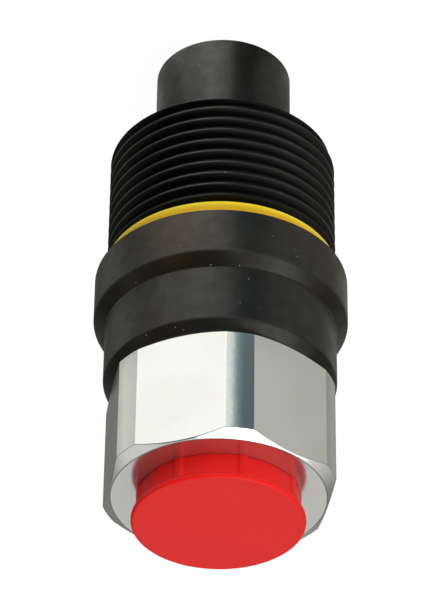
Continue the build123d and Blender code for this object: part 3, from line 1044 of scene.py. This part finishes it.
def painted_reflections_round(tree):
    """Painted reflections: brightness of the floor round the object, as only its glossy surfaces see it.

    The stops hold the angle from the side that the photograph shows and the brightness, and some a
    tint: painted reflections of a wide white sheet, a dark gap to its right, a grey wall on the right
    and a dim room behind.  The near stops multiply this within about 60 mm of the axis, where the nose
    and the thread reflect the floor, and mostly darken it there as a painted shadow of the object.  The
    far stops do so beyond about 140 mm, where the hexagon reflects it.  In the gap, the floor has
    cold and warm bands round the axis, painted into the reflections.
    """
    sheet, wall, gap = (1.0, 1.0, 0.98), (1.0, 1.0, 0.94), (0.82, 1.04, 1.0)
    # Tints of the painted reflections.
    cold_band, warm_band = (0.5, 0.82, 1.75), (1.15, 1.2, 0.66)
    stops = (
        (-180.0, 0.35, wall),
        (-165.0, 0.2, wall),
        (-150.0, 0.17, wall),
        (-131.0, 0.12, wall),
        (-115.0, 0.31, wall),
        (-98.0, 0.43, wall),
        (-80.0, 0.34, wall),
        (-66.0, 0.5, wall),
        (-57.0, 0.64, sheet),
        (-51.0, 1.08, sheet),
        (-30.0, 1.2, sheet),
        (-18.0, 1.8, sheet),
        (-6.0, 1.55, sheet),
        (1.0, 1.3, sheet),
        (5.0, 1.1, sheet),
        (9.0, 0.75, sheet),
        (12.0, 0.45, gap),
        (15.0, 0.28, gap),
        (22.0, 0.24, gap),
        (30.0, 0.24, gap),
        (38.0, 0.31, wall),
        (50.0, 0.46, wall),
        (72.0, 0.41, wall),
        (90.0, 0.28, wall),
        (106.0, 0.22, wall),
        (135.0, 0.32, wall),
        (160.0, 0.25, wall),
        (180.0, 0.35, wall),
    )
    # Painted shadow of the object in the reflections near the axis.
    near_shade_stops = (
        (-180.0, 1.0),
        (-75.0, 0.9),
        (-58.0, 0.78),
        (-20.0, 1.1),
        (8.0, 1.0),
        (15.0, 0.55),
        (22.0, 0.38),
        (30.0, 0.28),
        (45.0, 0.56),
        (70.0, 0.73),
        (95.0, 0.92),
        (180.0, 1.0),
    )
    far_stops = (
        (-180.0, 1.0),
        (-120.0, 1.0),
        (-104.0, 1.6),
        (-82.0, 1.7),
        (-60.0, 1.15),
        (-40.0, 1.0),
        (-30.0, 1.0),
        (-18.0, 0.67),
        (-6.0, 0.77),
        (1.0, 0.88),
        (5.0, 0.97),
        (9.0, 1.08),
        (13.0, 1.14),
        (16.0, 0.7),
        (21.0, 0.4),
        (30.0, 0.38),
        (40.0, 0.95),
        (50.0, 1.22),
        (90.0, 1.3),
        (120.0, 1.05),
        (180.0, 1.0),
    )
    gap_stops = ((-180.0, 0.0), (13.0, 0.0), (18.0, 1.0), (34.0, 1.0), (42.0, 0.0))
    near_start, near_end = 90.0, 45.0
    far_start, far_end = 138.0, 146.0
    place = around_object(tree)
    radius, _ = place_on_axis(tree)
    rings = use_group(tree, lathe_grain, "Value", Rings_per_mm=0.2)
    bands = mix_color(tree, ease(tree, rings, start=0.36, end=0.64), cold_band, warm_band)
    glow = round_ramp(tree, place, stops)
    glow = shade(tree, glow, grey_ramp(tree, place, gap_stops), bands)
    glow = shade_zone(tree, glow, radius, near_start, near_end, grey_ramp(tree, place, near_shade_stops))
    return shade_zone(tree, glow, radius, far_start, far_end, grey_ramp(tree, place, far_stops))


def floor():
    """Floor: white with a faint shadow to the camera, painted reflections of a studio to glossy rays,
    pale to all others.
    """
    material = bpy.data.materials.new("floor_white")
    material.use_nodes = True
    tree = material.node_tree
    tree.nodes.clear()
    output = add(tree, "ShaderNodeOutputMaterial")
    rays = add(tree, "ShaderNodeLightPath")
    diffuse = add(tree, "ShaderNodeBsdfDiffuse")
    diffuse.inputs["Color"].default_value = (0.86, 0.86, 0.86, 1.0)
    plain_glow = add(tree, "ShaderNodeEmission")
    plain_glow.inputs["Strength"].default_value = 1.05
    # Glossy rays see painted reflections of a studio.
    painted_reflection_glow = add(tree, "ShaderNodeEmission")
    tree.links.new(painted_reflections_round(tree), painted_reflection_glow.inputs["Color"])
    glow = add(tree, "ShaderNodeMixShader")
    tree.links.new(rays.outputs["Is Glossy Ray"], glow.inputs[0])
    tree.links.new(plain_glow.outputs[0], glow.inputs[1])
    tree.links.new(painted_reflection_glow.outputs[0], glow.inputs[2])
    surface = add(tree, "ShaderNodeMixShader")
    camera_glow = 0.92
    glow_share = compute(tree, "MULTIPLY", rays.outputs["Is Camera Ray"], camera_glow)
    glow_share = compute(tree, "MAXIMUM", glow_share, rays.outputs["Is Glossy Ray"])
    tree.links.new(glow_share, surface.inputs[0])
    tree.links.new(diffuse.outputs[0], surface.inputs[1])
    tree.links.new(glow.outputs[0], surface.inputs[2])
    tree.links.new(surface.outputs[0], output.inputs["Surface"])
    material.cycles.emission_sampling = "NONE"
    mesh = bpy.data.meshes.new("floor")
    half = 6.0
    corners = [(-half, -half, 0.0), (half, -half, 0.0), (half, half, 0.0), (-half, half, 0.0)]
    mesh.from_pydata(corners, [], [(0, 1, 2, 3)])
    mesh.materials.append(material)
    piece = bpy.data.objects.new("floor", mesh)
    bpy.context.scene.collection.objects.link(piece)


def studio_direction(to_right, elevation):
    """Direction at an angle to the right of the photographed side and an elevation, in degrees."""
    turn = camera_azimuth - radians(to_right)
    rise = radians(elevation)
    return Vector((cos(turn) * cos(rise), sin(turn) * cos(rise), sin(rise)))


def soft_box(name, to_right, elevation, distance, size, power, mirrored=True):
    """Square area lamp aimed at the middle of the object; mirrored says if surfaces reflect it."""
    lamp = bpy.data.lights.new(name, "AREA")
    lamp.shape = "SQUARE"
    lamp.size = size
    lamp.energy = power
    light = bpy.data.objects.new(name, lamp)
    light.visible_glossy = mirrored
    bpy.context.scene.collection.objects.link(light)
    direction = studio_direction(to_right, elevation)
    middle = Vector((0.0, 0.0, 0.06))
    light.location = middle + distance * direction
    light.rotation_euler = direction.to_track_quat("Z", "Y").to_euler()


def studio():
    """Soft boxes, and a world that is pale overhead and dim low down.

    Each patch of the world has its angle to the right of the photographed side, its elevation, its
    inner and outer radius in degrees and its level: dark in front on the left, pale behind, dim on the
    right and dark low down at the back on the left.
    """
    world = bpy.data.worlds.new("studio")
    bpy.context.scene.world = world
    world.use_nodes = True
    tree = world.node_tree
    background = tree.nodes["Background"]
    background.inputs["Color"].default_value = (1.0, 1.0, 0.98, 1.0)
    coordinates = add(tree, "ShaderNodeTexCoord")
    split = add(tree, "ShaderNodeSeparateXYZ")
    tree.links.new(coordinates.outputs["Generated"], split.inputs[0])
    dim_below, pale_above = sin(radians(18.0)), sin(radians(48.0))
    level = ease(tree, split.outputs[2], dim_below, pale_above, low=0.2, high=0.72)
    patches = (
        (-35.0, 38.0, 30.0, 52.0, 0.05),
        (180.0, 33.0, 12.0, 30.0, 0.69),
        (98.0, 22.0, 18.0, 30.0, 0.12),
        (-114.0, 16.0, 17.0, 27.0, 0.06),
    )
    for to_right, elevation, inner, outer, patch_level in patches:
        facing = add(tree, "ShaderNodeVectorMath", operation="DOT_PRODUCT")
        tree.links.new(coordinates.outputs["Generated"], facing.inputs[0])
        facing.inputs[1].default_value = studio_direction(to_right, elevation)
        inside = ease(tree, facing.outputs["Value"], cos(radians(outer)), cos(radians(inner)))
        level = mix_number(tree, inside, level, patch_level)
    tree.links.new(level, background.inputs["Strength"])
    soft_box("right_box", to_right=82.0, elevation=60.0, distance=1.0, size=0.9, power=2.8)
    soft_box("top_box", to_right=60.0, elevation=82.0, distance=1.0, size=0.5, power=1.3)
    soft_box(
        "front_box", to_right=16.0, elevation=16.0, distance=1.3, size=1.3, power=12.5, mirrored=False
    )


def camera():
    """Camera of the photograph, held upside down so that the nose points up in the picture.

    It looks down by camera_fall, past the axis by camera_turn, and is rolled by camera_roll.
    """
    to_camera = Vector((cos(camera_azimuth), sin(camera_azimuth), 0.0))
    across = Vector((sin(camera_azimuth), -cos(camera_azimuth), 0.0))
    level_back = cos(camera_turn) * to_camera + sin(camera_turn) * across
    level_right = cos(camera_turn) * across - sin(camera_turn) * to_camera
    back = cos(camera_fall) * level_back + sin(camera_fall) * Vector((0.0, 0.0, 1.0))
    right = cos(camera_roll) * level_right + sin(camera_roll) * back.cross(level_right)
    up = back.cross(right)
    data = bpy.data.cameras.new("camera")
    data.sensor_width = sensor_size
    data.lens = focal_length_px / photo_height_px * sensor_size
    data.clip_start = 0.01
    data.clip_end = 20.0
    shot = bpy.data.objects.new("camera", data)
    bpy.context.scene.collection.objects.link(shot)
    matrix = Matrix((right, up, back)).transposed().to_4x4()
    matrix.translation = (to_camera * camera_radius + Vector((0.0, 0.0, camera_height))) * MM
    shot.matrix_world = matrix
    bpy.context.scene.camera = shot


floor()
studio()
camera()
bpy.context.scene.view_settings.view_transform = "Standard"
